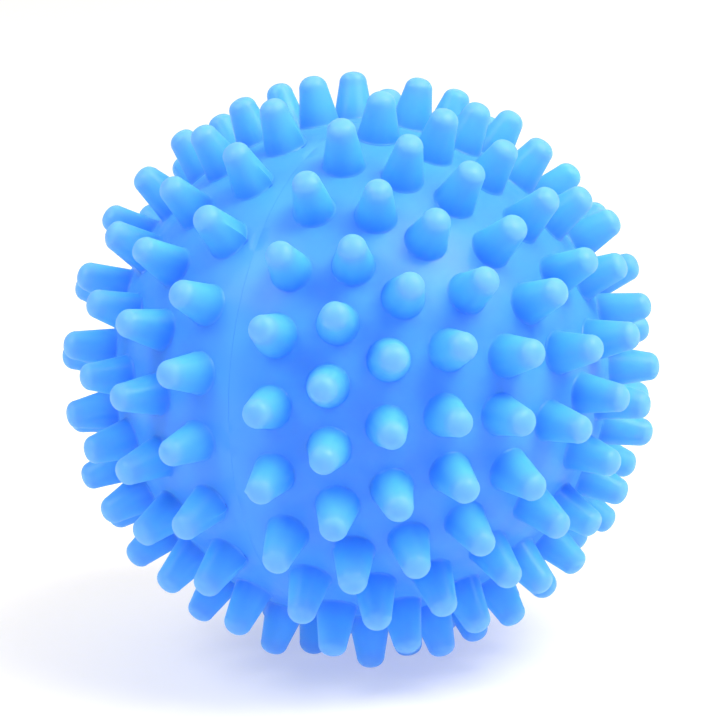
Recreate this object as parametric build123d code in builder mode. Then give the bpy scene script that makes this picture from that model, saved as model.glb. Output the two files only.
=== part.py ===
"""Spiked dryer ball.

A hollow ball of soft PVC that tumbles with wet laundry. It is moulded as two half shells with their
studs in one piece with the wall. The rims meet on the plane x = 0, where a tongue on the right half sits
in a groove of the left half and a ring of bonding cement fills the bottom of the groove. A soft plug
closes the vent hole at the left pole.

Frame: millimetres, origin at the ball's centre, +X along the mould axis (the axis of both half shells),
+Z up. The ball rests on the studs next to the seam.
"""

import os
from math import atan2, cos, degrees, radians, sin, sqrt

from build123d import *

# Ball
TIP_DIAMETER = 65.0
CORE_DIAMETER = 54.0
WALL = 2.2

# Studs: round, drafted, with a blunt domed end (a wide crown over a rounded corner)
STUD_ROOT_RADIUS = 2.2
STUD_TIP_RADIUS = 1.5
STUD_CORNER_RADIUS = 1.2
STUD_CROWN_RADIUS = 2.2
STUD_EMBED = 1.0

# Rings of studs on each half: latitude above the seam plane, studs in the ring, and the angle of the
# first stud from +Z towards -Y, all angles in degrees. The two moulds were cut with nearly the same ring
# latitudes, but each ring starts at its own angle.
RIGHT_RINGS = [
    (10.1, 23, 5.9),
    (23.3, 24, 3.6),
    (35.9, 20, 16.4),
    (49.0, 17, 0.8),
    (62.8, 12, 28.9),
    (76.9, 5, 32.9),
]
LEFT_RINGS = [
    (8.6, 23, 0.1),
    (22.1, 23, 6.8),
    (36.3, 20, 11.1),
    (48.8, 17, 12.6),
    (62.8, 12, 21.4),
    (76.9, 5, 35.1),
]

# Rim joint on the seam plane
RIM_INNER_RADIUS = 23.2
RIM_LENGTH = 3.0
RIM_TAPER = 1.5
SEAM_BEVEL = 0.15
TONGUE_INNER_RADIUS = 24.5
TONGUE_OUTER_RADIUS = 25.5
TONGUE_LENGTH = 1.6
GROOVE_CLEARANCE = 0.15
BOND_THICKNESS = 0.4
BOND_SIDE_GAP = 0.05

# Vent plug at the left pole
VENT_RADIUS = 1.6
PLUG_SEAT_RADIUS = 2.9
PLUG_SEAT_DEPTH = 0.9
PLUG_SIDE_GAP = 0.05
PLUG_BULB_RADIUS = 2.3
PLUG_BULB_LENGTH = 1.6
PLUG_NOSE_RADIUS = 1.2

core_radius = CORE_DIAMETER / 2
cavity_radius = core_radius - WALL
tip_radius = TIP_DIAMETER / 2
groove_depth = TONGUE_LENGTH + BOND_THICKNESS
groove_inner_radius = TONGUE_INNER_RADIUS - GROOVE_CLEARANCE
groove_outer_radius = TONGUE_OUTER_RADIUS + GROOVE_CLEARANCE


def on_circle(radius, across):
    """The other coordinate of the point of a circle round the origin that is `across` from one axis."""
    return sqrt(radius**2 - across**2)


def outward(side, latitude, angle):
    """Unit direction at a latitude from the seam plane and an angle from +Z towards -Y."""
    lat = radians(latitude)
    turn = radians(angle)
    return Vector(side * sin(lat), -cos(lat) * sin(turn), cos(lat) * cos(turn))


def ring_places(side, rings):
    """One location per ring stud, at the ball's centre with its +Z pointing out along the stud."""
    places = []
    for latitude, count, first in rings:
        for i in range(count):
            direction = outward(side, latitude, first + i * 360 / count)
            places.append(Plane(origin=(0, 0, 0), z_dir=direction).location)
    return places


def make_stud():
    """One stud along +Z, from inside the ball's wall to its domed end."""
    corner_offset = STUD_TIP_RADIUS - STUD_CORNER_RADIUS
    crown_centre = tip_radius - STUD_CROWN_RADIUS
    shoulder = crown_centre + on_circle(STUD_CROWN_RADIUS - STUD_CORNER_RADIUS, corner_offset)
    corner_sweep = degrees(atan2(shoulder - crown_centre, corner_offset))
    foot = core_radius - STUD_EMBED
    slope = (STUD_ROOT_RADIUS - STUD_TIP_RADIUS) / (shoulder - core_radius)
    foot_radius = STUD_ROOT_RADIUS + slope * STUD_EMBED
    with BuildPart() as stud:
        with BuildSketch(Plane.XZ):
            with BuildLine():
                Polyline((STUD_TIP_RADIUS, shoulder), (foot_radius, foot), (0, foot), (0, tip_radius))
                CenterArc((corner_offset, shoulder), STUD_CORNER_RADIUS, 0, corner_sweep)
                CenterArc((0, crown_centre), STUD_CROWN_RADIUS, corner_sweep, 90 - corner_sweep)
            make_face()
        revolve(axis=Axis.Z)
    return stud.part


def make_right_half_shell(stud):
    """The +X half: bowl with a thickened rim, the tongue of the seam, and its studs."""
    cavity_edge = RIM_LENGTH + RIM_TAPER
    with BuildPart() as right_half_shell:
        with BuildSketch(Plane.XY):
            with BuildLine():
                outside = RadiusArc(
                    (SEAM_BEVEL, on_circle(core_radius, SEAM_BEVEL)), (core_radius, 0), core_radius
                )
                Line(outside @ 1, (cavity_radius, 0))
                inside = RadiusArc(
                    (cavity_radius, 0), (cavity_edge, on_circle(cavity_radius, cavity_edge)), -cavity_radius
                )
                Polyline(
                    inside @ 1,
                    (RIM_LENGTH, RIM_INNER_RADIUS),
                    (0, RIM_INNER_RADIUS),
                    (0, TONGUE_INNER_RADIUS),
                    (-TONGUE_LENGTH, TONGUE_INNER_RADIUS),
                    (-TONGUE_LENGTH, TONGUE_OUTER_RADIUS),
                    (0, TONGUE_OUTER_RADIUS),
                    (0, core_radius - SEAM_BEVEL),
                    outside @ 0,
                )
            make_face()
        revolve(axis=Axis.X)
        pole_place = Plane(origin=(0, 0, 0), z_dir=(1, 0, 0)).location
        with Locations(pole_place, *ring_places(1, RIGHT_RINGS)):
            add(stud)
    right_half_shell.part.label = "right_half_shell"
    return right_half_shell.part


def make_left_half_shell(stud):
    """The -X half: bowl with a thickened rim, the groove of the seam, its studs and the vent hole."""
    cavity_edge = RIM_LENGTH + RIM_TAPER
    with BuildPart() as left_half_shell:
        with BuildSketch(Plane.XY):
            with BuildLine():
                outside = RadiusArc(
                    (-SEAM_BEVEL, on_circle(core_radius, SEAM_BEVEL)), (-core_radius, 0), -core_radius
                )
                Line(outside @ 1, (-cavity_radius, 0))
                inside = RadiusArc(
                    (-cavity_radius, 0), (-cavity_edge, on_circle(cavity_radius, cavity_edge)), cavity_radius
                )
                Polyline(
                    inside @ 1,
                    (-RIM_LENGTH, RIM_INNER_RADIUS),
                    (0, RIM_INNER_RADIUS),
                    (0, groove_inner_radius),
                    (-groove_depth, groove_inner_radius),
                    (-groove_depth, groove_outer_radius),
                    (0, groove_outer_radius),
                    (0, core_radius - SEAM_BEVEL),
                    outside @ 0,
                )
            make_face()
        revolve(axis=Axis.X)
        with Locations(*ring_places(-1, LEFT_RINGS)):
            add(stud)
        with Locations(Plane(origin=(-core_radius, 0, 0), z_dir=(-1, 0, 0))):
            CounterBoreHole(VENT_RADIUS, PLUG_SEAT_RADIUS, PLUG_SEAT_DEPTH, depth=2 * WALL)
    left_half_shell.part.label = "left_half_shell"
    return left_half_shell.part


def make_seam_bond():
    """Flat ring of set cement between the tongue's end and the bottom of the groove."""
    with BuildPart() as seam_bond:
        with BuildSketch(Plane.YZ.offset(-groove_depth)):
            Circle(groove_outer_radius - BOND_SIDE_GAP)
            Circle(groove_inner_radius + BOND_SIDE_GAP, mode=Mode.SUBTRACT)
        extrude(amount=BOND_THICKNESS)
    seam_bond.part.label = "seam_bond"
    return seam_bond.part


def make_vent_plug():
    """Soft plug: a flush head in the seat, a stem in the vent hole and a bulb that holds it inside."""
    head_radius = PLUG_SEAT_RADIUS - PLUG_SIDE_GAP
    stem_radius = VENT_RADIUS - PLUG_SIDE_GAP
    head_outside = -on_circle(core_radius, head_radius)
    seat = -core_radius + PLUG_SEAT_DEPTH
    bulb_start = -on_circle(cavity_radius, PLUG_BULB_RADIUS)
    nose = bulb_start + PLUG_SIDE_GAP + PLUG_BULB_LENGTH
    with BuildPart() as vent_plug:
        with BuildSketch(Plane.XY):
            with BuildLine():
                crown = RadiusArc((-core_radius, 0), (head_outside, head_radius), core_radius)
                Polyline(
                    crown @ 1,
                    (seat, head_radius),
                    (seat, stem_radius),
                    (-cavity_radius + PLUG_SIDE_GAP, stem_radius),
                    (bulb_start + PLUG_SIDE_GAP, PLUG_BULB_RADIUS),
                    (nose, PLUG_NOSE_RADIUS),
                    (nose, 0),
                    crown @ 0,
                )
            make_face()
        revolve(axis=Axis.X)
    vent_plug.part.label = "vent_plug"
    return vent_plug.part


os.makedirs("parts", exist_ok=True)
stud = make_stud()
right_half_shell = make_right_half_shell(stud)
left_half_shell = make_left_half_shell(stud)
seam_bond = make_seam_bond()
vent_plug = make_vent_plug()
export_step(right_half_shell, "parts/right_half_shell.step")
export_step(left_half_shell, "parts/left_half_shell.step")
export_step(seam_bond, "parts/seam_bond.step")
export_step(vent_plug, "parts/vent_plug.step")
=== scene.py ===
"""Looks of the spiked dryer ball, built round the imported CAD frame.

The two half shells, the vent plug and the hidden ring of cement are rebuilt as dense smooth meshes, with
the small unevenness of a soft moulding. Lengths are in metres, and angles written as numbers are in
degrees. Frame: origin at the ball's centre, +X along the mould axis, +Z up.
"""

import math
import random

import bpy
from mathutils import Matrix, Vector, noise
from mathutils.geometry import delaunay_2d_cdt


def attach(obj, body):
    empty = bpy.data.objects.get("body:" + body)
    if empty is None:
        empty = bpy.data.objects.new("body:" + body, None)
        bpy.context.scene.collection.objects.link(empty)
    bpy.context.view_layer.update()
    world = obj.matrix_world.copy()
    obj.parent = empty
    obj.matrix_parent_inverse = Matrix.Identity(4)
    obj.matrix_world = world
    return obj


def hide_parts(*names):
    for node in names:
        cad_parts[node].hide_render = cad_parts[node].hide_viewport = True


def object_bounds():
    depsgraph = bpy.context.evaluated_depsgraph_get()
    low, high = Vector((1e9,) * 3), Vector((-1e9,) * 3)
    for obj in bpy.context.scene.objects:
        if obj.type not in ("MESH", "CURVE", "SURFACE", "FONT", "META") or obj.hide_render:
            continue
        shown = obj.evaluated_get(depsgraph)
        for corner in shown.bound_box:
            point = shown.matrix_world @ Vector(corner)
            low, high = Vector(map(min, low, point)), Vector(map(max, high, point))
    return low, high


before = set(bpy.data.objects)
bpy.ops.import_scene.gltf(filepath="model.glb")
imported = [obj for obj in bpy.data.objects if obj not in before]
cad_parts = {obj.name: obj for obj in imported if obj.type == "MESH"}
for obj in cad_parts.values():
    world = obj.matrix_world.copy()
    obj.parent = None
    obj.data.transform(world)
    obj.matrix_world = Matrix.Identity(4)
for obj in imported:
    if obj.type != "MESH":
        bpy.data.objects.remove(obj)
cad_low, cad_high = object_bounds()

MM = 0.001

# Ball, as the CAD model has it
TIP_RADIUS = 32.5 * MM
CORE_RADIUS = 27.0 * MM
WALL = 2.2 * MM
CAVITY_RADIUS = CORE_RADIUS - WALL

# Studs, a few hundredths of a millimetre stouter than in the CAD model
STUD_ROOT_RADIUS = 2.22 * MM
STUD_TIP_RADIUS = 1.53 * MM
STUD_CROWN_RADIUS = 2.2 * MM

# Rings on each half: latitude above the seam plane, studs in the ring, angle of the first from +Z to -Y
RIGHT_RINGS = [
    (10.1, 23, 5.9),
    (23.3, 24, 3.6),
    (35.9, 20, 16.4),
    (49.0, 17, 0.8),
    (62.8, 12, 28.9),
    (76.9, 5, 32.9),
]
LEFT_RINGS = [
    (8.6, 23, 0.1),
    (22.1, 23, 6.8),
    (36.3, 20, 11.1),
    (48.8, 17, 12.6),
    (62.8, 12, 21.4),
    (76.9, 5, 35.1),
]

# Rim joint, vent and cement, as the CAD model has them
RIM_INNER_RADIUS = 23.2 * MM
RIM_LENGTH = 3.0 * MM
RIM_TAPER = 1.5 * MM
TONGUE_INNER_RADIUS = 24.5 * MM
TONGUE_OUTER_RADIUS = 25.5 * MM
TONGUE_LENGTH = 1.6 * MM
GROOVE_CLEARANCE = 0.15 * MM
GROOVE_DEPTH = 2.0 * MM
VENT_RADIUS = 1.6 * MM
PLUG_SEAT_RADIUS = 2.9 * MM
PLUG_SEAT_DEPTH = 0.9 * MM
PLUG_SIDE_GAP = 0.05 * MM
BOND_SIDE_GAP = 0.05 * MM

# Finish of the seam, the cement and the plug, finer than in the CAD model
SEAM_BEVEL = 0.015 * MM
BOND_DRAW_IN = 0.08 * MM
PLUG_FACE_DEPTH = 0.16 * MM
PLUG_BULB_GAP = 0.16 * MM

# Soft wave of the wall: its height, and the scales of a broad and a fine noise
WALL_WAVE = 0.07 * MM
BROAD_WAVE_SCALE = 3.1
FINE_WAVE_SCALE = 7.3
FINE_WAVE_SHARE = 0.5
FINE_WAVE_OFFSET = Vector((4.0, 1.0, 2.0))

# Studs differ a little: radii by a share, length, lean of the end, drift of the axis in degrees, and the
# end's corner radius between two shares of the end's radius
STUD_SPREAD = 0.015
STUD_LENGTH_SPREAD = 0.16 * MM
STUD_LEAN = 0.1 * MM
LEAN_POWER = 1.5
STUD_DRIFT = 0.15
CORNER_SHARES = (0.72, 0.92)

# Flare at a stud's root: its radius, and how far below the wall it starts
ROOT_FLARE = 0.12 * MM
FLARE_SINK = 0.02 * MM

# Flash on studs of the ring next to the seam: which stud, rib size in mm, and the rib's middle and reach
# as shares of the stud's height. The rib's flanks stand out by a share of its size.
RIGHT_FLASH = [(6, 0.25, 0.84, 0.12), (14, 0.35, 0.25, 0.4), (19, 0.3, 0.3, 0.3)]
LEFT_FLASH = [
    (1, 0.42, 0.22, 0.45),
    (2, 0.46, 0.18, 0.50),
    (3, 0.48, 0.20, 0.50),
    (7, 0.45, 0.15, 0.35),
    (8, 0.50, 0.20, 0.40),
    (12, 0.45, 0.20, 0.45),
    (18, 0.40, 0.25, 0.40),
]
FLASH_FLANK_SHARE = 0.12

# Mesh density round the X axis, round a stud and over the wall. CELL_SHARE is the part of a square of the
# spacing that one point takes up, and POLE_GAP the radius of the cavity's last loop before the pole.
RIM_STEPS = 144
STUD_STEPS = 28
CAVITY_STEPS = 18
BOND_STEPS = 6
SKIN_SPACING = 0.72 * MM
FIRST_SKIN_RING = 0.6 * SKIN_SPACING
CLEAR_OF_STUD = 1.1 * SKIN_SPACING
CELL_SHARE = 0.87
POLE_GAP = 0.4 * MM

# Rings of a stud's mesh: degrees of the root flare, then shares of the side, corner arc and crown arc
FLARE_TURNS = (25, 50, 74)
SIDE_SHARES = (0.04, 0.2, 0.36, 0.52, 0.68, 0.84, 1.0)
CORNER_ARC_SHARES = (0.17, 0.34, 0.5, 0.67, 0.84, 1.0)
CROWN_ARC_SHARES = (0.35, 0.7)

# Colour of the soft PVC from the wall, 0, to the end of a stud, 1: its own blue with painted light in it.
# The paler stud ends are a painted glow of light through the thin tips; the deeper, darker blue of the
# wall and stud roots is painted shade between the studs.
PVC_AND_PAINTED_LIGHT_BY_HEIGHT = [
    (0.0, (0.059, 0.296, 0.960)),
    (0.08, (0.055, 0.310, 0.960)),
    (0.36, (0.072, 0.395, 0.960)),
    (0.64, (0.089, 0.406, 0.960)),
    (0.88, (0.124, 0.357, 0.960)),
]

# Nearly all values of a noise texture lie between these
NOISE_LOW, NOISE_HIGH = 0.3, 0.7

# Soft boxes: azimuth, elevation, distance from the ball's centre, width, power in watts
SOFT_BOXES = {
    "top_box": (88, 57, 0.7, 0.4, 3.8),
    "left_box": (-30, 48, 0.65, 0.34, 2.1),
    "right_box": (102, 44, 0.65, 0.34, 1.9),
    "back_box": (190, 62, 0.8, 0.7, 1.1),
    "front_box": (34, 4, 0.65, 0.4, 0.5),
}
TENT_STRENGTH = 0.43
FLOOR_HALF_WIDTH = 3.0

random_source = random.Random(11)


def outward(side, latitude, angle):
    """Unit direction at a latitude from the seam plane and an angle from +Z towards -Y."""
    lat = math.radians(latitude)
    turn = math.radians(angle)
    ring_radius = math.cos(lat)
    return Vector((side * math.sin(lat), -ring_radius * math.sin(turn), ring_radius * math.cos(turn)))


def wall_radius(direction):
    """Radius of the ball's wall in a direction: the core sphere with a soft wave."""
    broad = noise.noise(direction * BROAD_WAVE_SCALE)
    fine = noise.noise(direction * FINE_WAVE_SCALE + FINE_WAVE_OFFSET)
    return CORE_RADIUS + WALL_WAVE * (broad + FINE_WAVE_SHARE * fine)


class Stud:
    """One stud with its own small errors of place, size and lean."""

    def __init__(self, axis):
        drift = Vector([random_source.gauss(0.0, 1.0) for _ in range(3)])
        drift = drift.cross(axis) * math.radians(STUD_DRIFT)
        self.axis = (axis + drift).normalized()
        self.side_one = self.axis.orthogonal().normalized()
        self.side_two = self.axis.cross(self.side_one)
        self.root = STUD_ROOT_RADIUS * random_source.gauss(1.0, STUD_SPREAD)
        self.end = STUD_TIP_RADIUS * random_source.gauss(1.0, STUD_SPREAD)
        self.corner = self.end * random_source.uniform(*CORNER_SHARES)
        self.tip = TIP_RADIUS - abs(random_source.gauss(0.0, 1.0)) * STUD_LENGTH_SPREAD
        turn = random_source.uniform(0.0, 2 * math.pi)
        lean = STUD_LEAN * abs(random_source.gauss(0.0, 1.0))
        self.lean = self.across(turn) * lean
        self.flash = None

    def across(self, turn):
        """Unit direction square to the stud's axis, at a turn in radians."""
        return self.side_one * math.cos(turn) + self.side_two * math.sin(turn)

    def add_flash(self, size, middle, reach):
        """A thin rib of flash up the side that faces the seam."""
        self.flash = (size * MM, middle, reach)
        to_seam = Vector((-math.copysign(1.0, self.axis.x), 0.0, 0.0))
        self.side_one = (to_seam - self.axis * to_seam.dot(self.axis)).normalized()
        self.side_two = self.axis.cross(self.side_one)

    def ring_directions(self, radius):
        """Directions of the circle of this radius on the wall, round the stud."""
        angle = math.asin(radius / CORE_RADIUS)
        found = []
        for i in range(STUD_STEPS):
            turn = 2 * math.pi * i / STUD_STEPS
            found.append(self.axis * math.cos(angle) + self.across(turn) * math.sin(angle))
        return found

    def rings(self):
        """(radius, height) of each ring above the root circle: flare, side, rounded corner and crown."""
        wall = wall_radius(self.axis)
        corner_offset = self.end - self.corner
        crown_centre = self.tip - STUD_CROWN_RADIUS
        shoulder = crown_centre + math.sqrt((STUD_CROWN_RADIUS - self.corner) ** 2 - corner_offset**2)
        found = []
        for degrees in FLARE_TURNS:
            turn = math.radians(degrees)
            radius = self.root + ROOT_FLARE * (1 - math.sin(turn))
            height = wall - FLARE_SINK + ROOT_FLARE * (1 - math.cos(turn))
            found.append((radius, height))
        low = wall + ROOT_FLARE
        for share in SIDE_SHARES:
            radius = self.root + (self.end - self.root) * share
            height = low + (shoulder - low) * share
            found.append((radius, height))
        corner_sweep = math.atan2(shoulder - crown_centre, corner_offset)
        for share in CORNER_ARC_SHARES:
            turn = corner_sweep * share
            radius = corner_offset + self.corner * math.cos(turn)
            height = shoulder + self.corner * math.sin(turn)
            found.append((radius, height))
        for share in CROWN_ARC_SHARES:
            turn = corner_sweep + (math.pi / 2 - corner_sweep) * share
            radius = STUD_CROWN_RADIUS * math.cos(turn)
            height = crown_centre + STUD_CROWN_RADIUS * math.sin(turn)
            found.append((radius, height))
        return found

    def point(self, step, radius, height):
        """A point of the stud, leaning more the further it is from the wall."""
        turn = 2 * math.pi * step / STUD_STEPS
        share = max(0.0, (height - CORE_RADIUS) / (TIP_RADIUS - CORE_RADIUS))
        if self.flash and step in (0, 1, STUD_STEPS - 1):
            size, middle, reach = self.flash
            rise = max(0.0, 1 - abs(share - middle) / reach)
            radius += size * rise * (1.0 if step == 0 else FLASH_FLANK_SHARE)
        return self.axis * height + self.across(turn) * radius + self.lean * share**LEAN_POWER


class Skin:
    """A mesh under construction: vertices and faces."""

    def __init__(self):
        self.points = []
        self.faces = []

    def add(self, point):
        """Adds a vertex and gives its number."""
        self.points.append(Vector(point))
        return len(self.points) - 1

    def bridge(self, loop, next_loop):
        """Quads between two closed loops of the same length."""
        count = len(loop)
        for i in range(count):
            j = (i + 1) % count
            self.faces.append((loop[i], loop[j], next_loop[j], next_loop[i]))

    def fan(self, loop, tip):
        """Triangles from a closed loop to one point."""
        for i, first in enumerate(loop):
            self.faces.append((first, loop[(i + 1) % len(loop)], tip))

    def turned_loop(self, along, radius):
        """A closed loop of vertices round the X axis."""
        loop = []
        for i in range(RIM_STEPS):
            turn = 2 * math.pi * i / RIM_STEPS
            loop.append(self.add((along, -radius * math.sin(turn), radius * math.cos(turn))))
        return loop

    def lathe(self, loop, profile):
        """Carries a loop round the X axis through the profile's (along, radius) points."""
        for along, radius in profile:
            next_loop = self.turned_loop(along, radius)
            self.bridge(loop, next_loop)
            loop = next_loop
        return loop

    def build(self, name, sharp_degrees):
        """The finished object, with its normals outward and only true corners sharp."""
        mesh = bpy.data.meshes.new(name)
        mesh.from_pydata(self.points, [], self.faces)
        built = bpy.data.objects.new(name, mesh)
        bpy.context.scene.collection.objects.link(built)
        bpy.context.view_layer.objects.active = built
        built.select_set(True)
        bpy.ops.object.mode_set(mode="EDIT")
        bpy.ops.mesh.select_all(action="SELECT")
        bpy.ops.mesh.normals_make_consistent(inside=False)
        bpy.ops.object.mode_set(mode="OBJECT")
        built.select_set(False)
        mesh.shade_smooth()
        mesh.set_sharp_from_angle(angle=math.radians(sharp_degrees))
        return built


class ShellSkin(Skin):
    """The skin of one half: points spread over the wall, joined by one flat triangulation."""

    def __init__(self, side):
        super().__init__()
        self.side = side
        self.flat = []
        self.edges = []
        self.owners = []

    def add_direction(self, direction, owner=None):
        """A point on the wall. Its owner is the loop that it belongs to, if any."""
        self.add(direction * wall_radius(direction))
        self.flat.append(flattened(direction, self.side))
        self.owners.append(owner)

    def add_loop(self, directions, owner):
        """A closed loop of points on the wall, whose edges the triangulation keeps."""
        start = len(self.points)
        for direction in directions:
            self.add_direction(direction, owner)
        loop = list(range(start, len(self.points)))
        self.edges.extend((loop[i], loop[(i + 1) % len(loop)]) for i in range(len(loop)))
        return loop

    def fill_wall(self):
        """Triangles between the loops. The insides of the root circles and of the vent stay open."""
        found = delaunay_2d_cdt(self.flat, self.edges, [], 0, 1e-9, True)
        triangles, originals = found[2], found[3]
        for triangle in triangles:
            corners = [originals[corner][0] for corner in triangle]
            owners = {self.owners[corner] for corner in corners}
            inside_a_loop = len(owners) == 1 and owners.isdisjoint({None, "rim"})
            if not inside_a_loop:
                self.faces.append(tuple(corners))

    def grow_stud(self, stud, loop):
        """The stud's flare, side, corner and crown above its root circle."""
        for radius, height in stud.rings():
            next_loop = [self.add(stud.point(i, radius, height)) for i in range(STUD_STEPS)]
            self.bridge(loop, next_loop)
            loop = next_loop
        self.fan(loop, self.add(stud.point(0, 0.0, stud.tip)))


def flattened(direction, side):
    """Stereographic picture of a direction of one half on the plane, where circles stay circles."""
    depth = 1 + side * direction.x
    return Vector((direction.y / depth, direction.z / depth))


def circle_of_directions(side, angle):
    """Directions of a circle round the X axis, at an angle in radians from the half's pole."""
    along = side * math.cos(angle)
    radius = math.sin(angle)
    turns = [2 * math.pi * i / RIM_STEPS for i in range(RIM_STEPS)]
    return [Vector((along, -radius * math.sin(turn), radius * math.cos(turn))) for turn in turns]


def scattered_directions(side, studs, edge_angle, vent_angle):
    """Evenly spread directions on one half, clear of the studs, the rim and the vent."""
    half_area = 2 * math.pi * CORE_RADIUS**2
    count = int(half_area / (SKIN_SPACING**2 * CELL_SHARE))
    golden = math.pi * (3 - math.sqrt(5))
    clear = math.cos(math.asin((STUD_ROOT_RADIUS + ROOT_FLARE + CLEAR_OF_STUD) / CORE_RADIUS))
    found = []
    for i in range(count):
        along = (i + 0.5) / count
        radius = math.sqrt(1 - along**2)
        direction = Vector((side * along, radius * math.cos(golden * i), radius * math.sin(golden * i)))
        if along < math.sin(edge_angle) or along > math.cos(vent_angle):
            continue
        if all(direction.dot(stud.axis) < clear for stud in studs):
            found.append(direction)
    return found


def cavity_profile(side, last_radius):
    """The inside of the wall from the end of the rim's taper towards the pole."""
    start = RIM_LENGTH + RIM_TAPER
    first_angle = math.acos(start / CAVITY_RADIUS)
    last_angle = math.asin(last_radius / CAVITY_RADIUS)
    found = []
    for i in range(CAVITY_STEPS + 1):
        angle = first_angle + (last_angle - first_angle) * i / CAVITY_STEPS
        found.append((side * CAVITY_RADIUS * math.cos(angle), CAVITY_RADIUS * math.sin(angle)))
    return found


def make_studs(side, rings, flash, pole_stud):
    """The studs of one half: the one on the pole, if there is one, and then ring by ring."""
    pole_axes = [outward(side, 90, 0)] if pole_stud else []
    ring_axes = []
    for latitude, count, first in rings:
        ring_axes += [outward(side, latitude, first + i * 360 / count) for i in range(count)]
    studs = [Stud(axis) for axis in pole_axes + ring_axes]
    for number, size, middle, reach in flash:
        studs[len(pole_axes) + number].add_flash(size, middle, reach)
    return studs


def make_half_shell(name, side, rings, flash, rim_profile, vent):
    """One half of the ball: outside skin with its studs, rim joint and cavity, as one closed mesh."""
    studs = make_studs(side, rings, flash, pole_stud=not vent)
    skin = ShellSkin(side)

    bevel_angle = SEAM_BEVEL / CORE_RADIUS
    vent_angle = math.asin(PLUG_SEAT_RADIUS / CORE_RADIUS)
    rim_loop = skin.add_loop(circle_of_directions(side, math.pi / 2 - bevel_angle), "rim")
    if vent:
        vent_loop = skin.add_loop(circle_of_directions(side, vent_angle), "vent")
    root_loops = []
    for i, stud in enumerate(studs):
        foot = stud.root + ROOT_FLARE
        root_loops.append(skin.add_loop(stud.ring_directions(foot), i))
        for direction in stud.ring_directions(foot + FIRST_SKIN_RING):
            skin.add_direction(direction)
    clear_of_rim = bevel_angle + SKIN_SPACING / CORE_RADIUS
    clear_of_vent = vent_angle + SKIN_SPACING / CORE_RADIUS if vent else 0.0
    for direction in scattered_directions(side, studs, clear_of_rim, clear_of_vent):
        skin.add_direction(direction)
    skin.fill_wall()
    for stud, loop in zip(studs, root_loops):
        skin.grow_stud(stud, loop)

    profile = [(0.0, CORE_RADIUS - SEAM_BEVEL)] + rim_profile
    profile += [(0.0, RIM_INNER_RADIUS), (side * RIM_LENGTH, RIM_INNER_RADIUS)]
    if vent:
        profile += cavity_profile(side, VENT_RADIUS)
        seat = CORE_RADIUS - PLUG_SEAT_DEPTH
        profile += [(side * seat, VENT_RADIUS), (side * seat, PLUG_SEAT_RADIUS)]
        skin.bridge(skin.lathe(rim_loop, profile), vent_loop)
    else:
        last_loop = skin.lathe(rim_loop, profile + cavity_profile(side, POLE_GAP))
        skin.fan(last_loop, skin.add((side * CAVITY_RADIUS, 0.0, 0.0)))
    return skin.build(name, sharp_degrees=40)


def make_vent_plug():
    """The soft plug: rounded, slightly dished head with a gate mark, stem and holding bulb.

    The profile runs inward from the gate mark, as (distance from the ball's centre, radius).
    """
    head = PLUG_SEAT_RADIUS - PLUG_SIDE_GAP
    stem = VENT_RADIUS - PLUG_SIDE_GAP
    seat = CORE_RADIUS - PLUG_SEAT_DEPTH
    face = CORE_RADIUS - PLUG_FACE_DEPTH
    bulb = CAVITY_RADIUS - PLUG_BULB_GAP
    profile = [
        (face + 0.10 * MM, 0.45 * MM),
        (face - 0.02 * MM, 0.62 * MM),
        (face - 0.06 * MM, 1.1 * MM),
        (face - 0.03 * MM, 1.8 * MM),
        (face, 2.35 * MM),
        (face - 0.04 * MM, head - 0.18 * MM),
        (face - 0.12 * MM, head - 0.05 * MM),
        (face - 0.24 * MM, head),
        (seat, head),
        (seat, stem),
        (bulb, stem),
        (bulb - 0.02 * MM, 2.2 * MM),
        (bulb - 0.35 * MM, 2.3 * MM),
        (bulb - 0.95 * MM, 1.9 * MM),
        (bulb - 1.5 * MM, 1.25 * MM),
        (bulb - 1.6 * MM, 0.6 * MM),
    ]
    gate_rise = 0.02 * MM
    skin = Skin()
    first_along, first_radius = profile[0]
    first_loop = skin.turned_loop(-first_along, first_radius)
    skin.fan(first_loop, skin.add((-first_along - gate_rise, 0.0, 0.0)))
    last_loop = skin.lathe(first_loop, [(-along, radius) for along, radius in profile[1:]])
    skin.fan(last_loop, skin.add((-profile[-1][0], 0.0, 0.0)))
    return skin.build("vent_plug_detail", sharp_degrees=50)


def make_seam_bond():
    """The ring of set cement in the groove's bottom, its sides drawn in a little where they set free."""
    inner = TONGUE_INNER_RADIUS - GROOVE_CLEARANCE + BOND_SIDE_GAP
    outer = TONGUE_OUTER_RADIUS + GROOVE_CLEARANCE - BOND_SIDE_GAP
    thickness = GROOVE_DEPTH - TONGUE_LENGTH
    side = []
    for i in range(BOND_STEPS + 1):
        along = -GROOVE_DEPTH + thickness * i / BOND_STEPS
        side.append((along, BOND_DRAW_IN * math.sin(math.pi * i / BOND_STEPS)))
    profile = [(along, outer - draw_in) for along, draw_in in side]
    profile += [(along, inner + draw_in) for along, draw_in in reversed(side)]
    skin = Skin()
    first_loop = skin.turned_loop(*profile[0])
    skin.bridge(skin.lathe(first_loop, profile[1:]), first_loop)
    return skin.build("seam_bond_ring", sharp_degrees=50)


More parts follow.
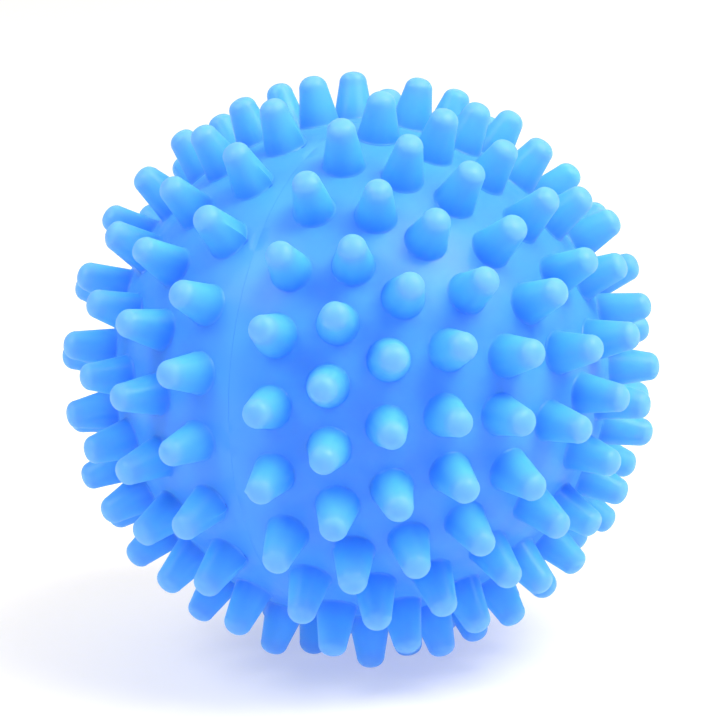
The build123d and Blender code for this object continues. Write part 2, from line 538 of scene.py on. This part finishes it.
class Nodes:
    """Short helper for building a material's node tree."""

    def __init__(self, name):
        self.material = bpy.data.materials.new(name)
        self.material.use_nodes = True
        self.tree = self.material.node_tree
        self.shader = self.tree.nodes["Principled BSDF"]

    def node(self, kind, inputs=None, **settings):
        """A new node with its inputs set or linked."""
        made = self.tree.nodes.new(kind)
        for key, value in settings.items():
            setattr(made, key, value)
        for key, value in (inputs or {}).items():
            self.put(made.inputs[key], value)
        return made

    def put(self, socket, value):
        """Links a socket to another node's output, or sets it to a plain value."""
        if isinstance(value, bpy.types.NodeSocket):
            self.tree.links.new(value, socket)
        else:
            socket.default_value = value

    def noise(self, place, scale, detail):
        """Noise, mostly between NOISE_LOW and NOISE_HIGH."""
        made = self.node("ShaderNodeTexNoise", {"Vector": place, "Scale": scale, "Detail": detail})
        return made.outputs["Fac"]

    def ramp(self, value, stops):
        """A colour ramp through (position, colour) stops."""
        made = self.node("ShaderNodeValToRGB", {"Fac": value})
        elements = made.color_ramp.elements
        while len(elements) < len(stops):
            elements.new(0.5)
        for element, (place, colour) in zip(elements, stops):
            element.position = place
            element.color = (*colour, 1.0)
        return made.outputs["Color"]

    def span(self, value, low, high, to_low=0.0, to_high=1.0):
        """Maps low to high onto another span, and clamps what lies outside."""
        inputs = {"Value": value, "From Min": low, "From Max": high, "To Min": to_low, "To Max": to_high}
        return self.node("ShaderNodeMapRange", inputs).outputs["Result"]

    def noise_span(self, value, to_low, to_high):
        """Maps a noise onto a span of values."""
        return self.span(value, NOISE_LOW, NOISE_HIGH, to_low, to_high)

    def bump(self, height, strength, distance):
        """Fine relief on the shader's normal."""
        made = self.node("ShaderNodeBump", {"Height": height, "Strength": strength, "Distance": distance})
        self.put(self.shader.inputs["Normal"], made.outputs["Normal"])


def make_soft_pvc(name):
    """Blue slightly translucent PVC, with painted light in its colour: paler towards the thin stud ends
    as a painted glow through the tips, deeper in the wall as painted shade between the studs.

    The translucency fades out towards the seam, where each half's mesh ends.
    """
    n = Nodes(name)
    place = n.node("ShaderNodeTexCoord").outputs["Object"]
    radius = n.node("ShaderNodeVectorMath", {0: place}, operation="LENGTH").outputs["Value"]
    height = n.span(radius, CORE_RADIUS, TIP_RADIUS)
    cloud = n.noise(place, scale=95.0, detail=2.0)
    uneven = n.noise_span(cloud, -0.06, 0.06)
    height = n.node("ShaderNodeMath", {0: height, 1: uneven}, operation="ADD").outputs["Value"]
    # Base colour: the PVC's blue, with a painted glow at the stud ends and painted shade on the wall and
    # at the stud roots.
    n.put(n.shader.inputs["Base Color"], n.ramp(height, PVC_AND_PAINTED_LIGHT_BY_HEIGHT))
    grain = n.noise(place, scale=700.0, detail=3.0)
    n.put(n.shader.inputs["Roughness"], n.noise_span(grain, 0.46, 0.58))
    n.shader.inputs["IOR"].default_value = 1.5
    n.shader.inputs["Specular IOR Level"].default_value = 0.26
    n.shader.inputs["Coat Weight"].default_value = 0.12
    n.shader.inputs["Coat Roughness"].default_value = 0.16
    along = n.node("ShaderNodeSeparateXYZ", {"Vector": place}).outputs["X"]
    off_seam = n.node("ShaderNodeMath", {0: along}, operation="ABSOLUTE").outputs["Value"]
    n.put(n.shader.inputs["Subsurface Weight"], n.span(off_seam, 0.3 * MM, 5.0 * MM))
    n.shader.inputs["Subsurface Radius"].default_value = (0.35, 0.7, 1.0)
    n.put(n.shader.inputs["Subsurface Scale"], n.span(height, 0.0, 0.8, 0.5 * MM, 3.2 * MM))
    n.bump(grain, strength=0.25, distance=0.02 * MM)
    return n.material


def make_cement(name):
    """Clear set cement, faintly clouded."""
    n = Nodes(name)
    place = n.node("ShaderNodeTexCoord").outputs["Object"]
    cloud = n.noise(place, scale=400.0, detail=3.0)
    stops = [(NOISE_LOW, (0.50, 0.68, 0.88)), (NOISE_HIGH, (0.70, 0.84, 0.95))]
    n.put(n.shader.inputs["Base Color"], n.ramp(cloud, stops))
    n.put(n.shader.inputs["Roughness"], n.noise_span(cloud, 0.12, 0.25))
    n.bump(cloud, strength=0.3, distance=0.05 * MM)
    return n.material


def make_floor_paper(name):
    """Matt white paper sweep. A glow of its own keeps the ball's shadow pale."""
    n = Nodes(name)
    place = n.node("ShaderNodeTexCoord").outputs["Object"]
    fibre = n.noise(place, scale=900.0, detail=4.0)
    stops = [(NOISE_LOW, (0.64, 0.605, 0.54)), (NOISE_HIGH, (0.66, 0.625, 0.56))]
    n.put(n.shader.inputs["Base Color"], n.ramp(fibre, stops))
    n.shader.inputs["Roughness"].default_value = 0.9
    n.shader.inputs["Specular IOR Level"].default_value = 0.1
    n.shader.inputs["Emission Color"].default_value = (0.93, 0.945, 1.0, 1.0)
    n.shader.inputs["Emission Strength"].default_value = 0.42
    return n.material


def make_floor(height):
    """A wide sheet that the ball stands on."""
    half = FLOOR_HALF_WIDTH
    mesh = bpy.data.meshes.new("floor")
    corners = [(-half, -half, height), (half, -half, height), (half, half, height), (-half, half, height)]
    mesh.from_pydata(corners, [], [(0, 1, 2, 3)])
    floor = bpy.data.objects.new("floor", mesh)
    bpy.context.scene.collection.objects.link(floor)
    mesh.materials.append(make_floor_paper("floor_paper"))


def view_direction(azimuth, elevation):
    """From the ball's centre towards a viewer. Azimuth 0 looks along +Y with +X to the right."""
    a = math.radians(azimuth)
    e = math.radians(elevation)
    return Vector((math.sin(a) * math.cos(e), -math.cos(a) * math.cos(e), math.sin(e)))


def make_camera():
    """Long lens, a little above the ball, with a slight roll."""
    azimuth, elevation, roll = 30.66, 14.26, -1.97
    distance = 474.5 * MM
    data = bpy.data.cameras.new("camera")
    data.sensor_width = 36.0
    data.lens = 218.6
    data.shift_x = -0.0001
    data.shift_y = 0.0118
    data.clip_start = 0.01
    data.clip_end = 20.0
    camera = bpy.data.objects.new("camera", data)
    bpy.context.scene.collection.objects.link(camera)
    back = view_direction(azimuth, elevation)
    look = (-back).to_track_quat("-Z", "Y").to_matrix().to_4x4()
    tilt = Matrix.Rotation(math.radians(roll), 4, "Z")
    camera.matrix_world = Matrix.Translation(back * distance) @ look @ tilt
    bpy.context.scene.camera = camera


def make_soft_box(name, azimuth, elevation, distance, width, power):
    """A square white light that faces the ball."""
    data = bpy.data.lights.new(name, "AREA")
    data.shape = "SQUARE"
    data.size = width
    data.energy = power
    lamp = bpy.data.objects.new(name, data)
    bpy.context.scene.collection.objects.link(lamp)
    back = view_direction(azimuth, elevation)
    lamp.location = back * distance
    lamp.rotation_mode = "QUATERNION"
    lamp.rotation_quaternion = (-back).to_track_quat("-Z", "Y")


def make_lighting():
    """A white tent: even light all round, and soft boxes above, at both sides, behind and in front."""
    world = bpy.data.worlds.new("tent")
    world.use_nodes = True
    background = world.node_tree.nodes["Background"]
    background.inputs["Color"].default_value = (1.0, 1.0, 1.0, 1.0)
    background.inputs["Strength"].default_value = TENT_STRENGTH
    bpy.context.scene.world = world
    for name, placing in SOFT_BOXES.items():
        make_soft_box(name, *placing)
    bpy.context.scene.view_settings.view_transform = "Standard"
    bpy.context.scene.view_settings.look = "None"
    bpy.context.scene.cycles.diffuse_bounces = 8


right_rim = [
    (0.0, TONGUE_OUTER_RADIUS),
    (-TONGUE_LENGTH, TONGUE_OUTER_RADIUS),
    (-TONGUE_LENGTH, TONGUE_INNER_RADIUS),
    (0.0, TONGUE_INNER_RADIUS),
]
left_rim = [
    (0.0, TONGUE_OUTER_RADIUS + GROOVE_CLEARANCE),
    (-GROOVE_DEPTH, TONGUE_OUTER_RADIUS + GROOVE_CLEARANCE),
    (-GROOVE_DEPTH, TONGUE_INNER_RADIUS - GROOVE_CLEARANCE),
    (0.0, TONGUE_INNER_RADIUS - GROOVE_CLEARANCE),
]

make_camera()
make_lighting()
soft_pvc = make_soft_pvc("soft_pvc_blue")

right_shell = make_half_shell("right_shell_skin", 1, RIGHT_RINGS, RIGHT_FLASH, right_rim, vent=False)
right_shell.data.materials.append(soft_pvc)
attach(right_shell, "root")
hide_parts("right_half_shell")

left_shell = make_half_shell("left_shell_skin", -1, LEFT_RINGS, LEFT_FLASH, left_rim, vent=True)
left_shell.data.materials.append(soft_pvc)
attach(left_shell, "root")
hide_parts("left_half_shell")

plug = make_vent_plug()
plug.data.materials.append(make_soft_pvc("plug_pvc_blue"))
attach(plug, "root")
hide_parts("vent_plug")

bond = make_seam_bond()
bond.data.materials.append(make_cement("clear_cement"))
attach(bond, "root")
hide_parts("seam_bond")

make_floor(cad_low.z)
